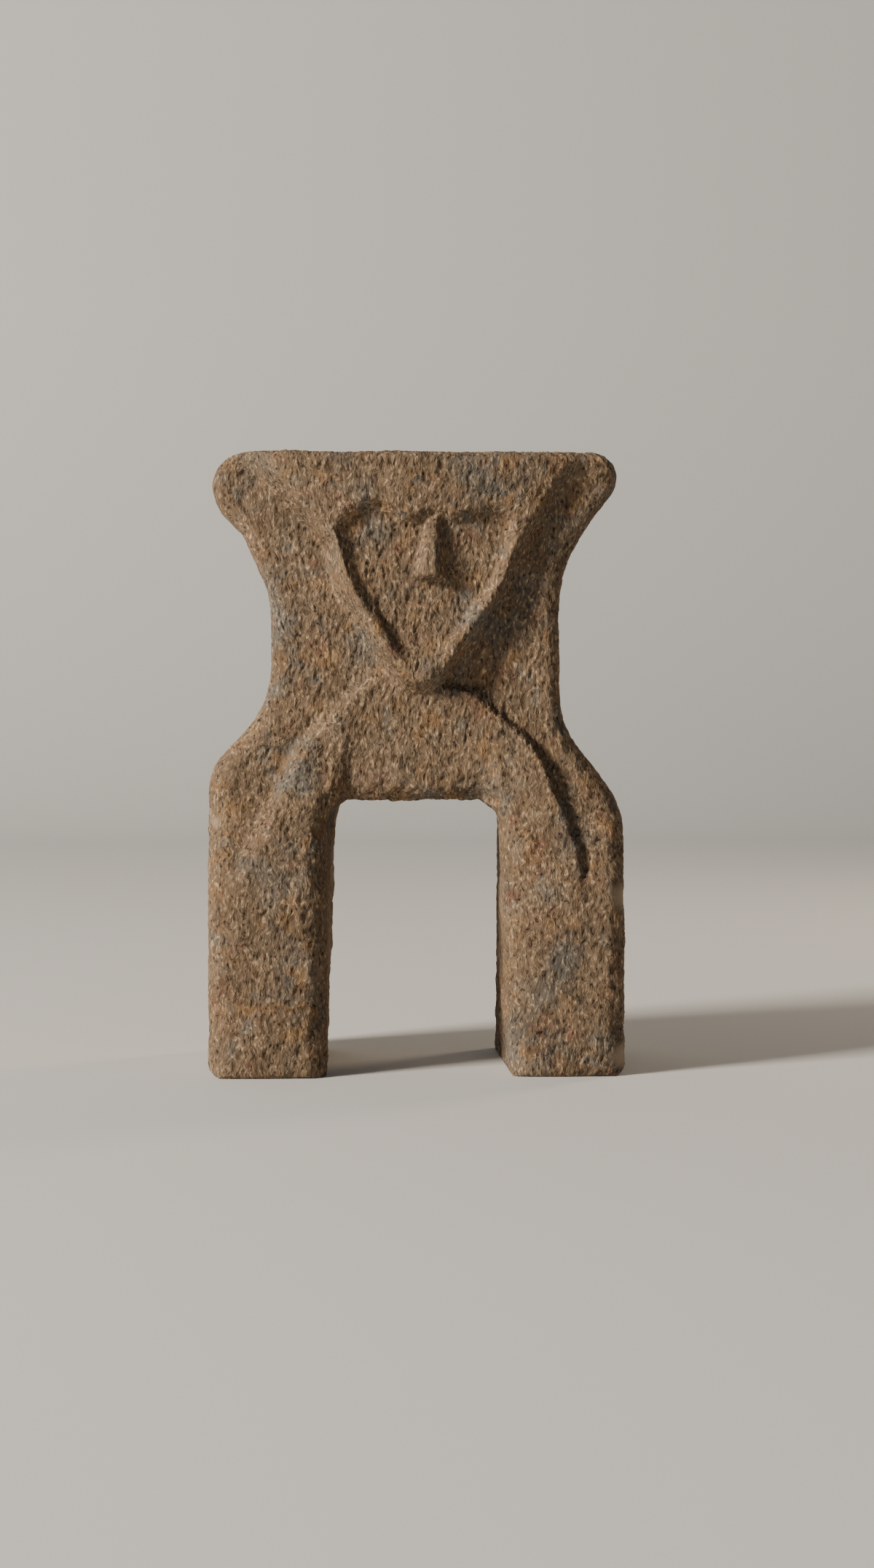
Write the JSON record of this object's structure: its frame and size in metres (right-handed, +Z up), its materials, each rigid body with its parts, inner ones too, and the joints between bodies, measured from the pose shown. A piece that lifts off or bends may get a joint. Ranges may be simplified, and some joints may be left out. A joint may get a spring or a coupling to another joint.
{
  "type": "stone totem sculpture",
  "caption": "Block-like standing figure carved from one coarse brown stone: flaring head slab, wedge-shaped mask, arms running down into broad legs, open arch between them.",
  "frame": {"origin": "on the ground under the middle of the figure, where its feet stand", "axes": "+Z up, +X to the right of someone facing the carved front, +Y towards the plain back; the carved front looks along -Y"},
  "size_m": [0.214, 0.116, 0.32],
  "materials": {
    "coarse_brown_stone": "weathered, coarse grained, fully matte, brown with ochre and grey patches"
  },
  "bodies": {
    "root": {"carved_stone_figure": "coarse_brown_stone"}
  },
  "joints": []
}
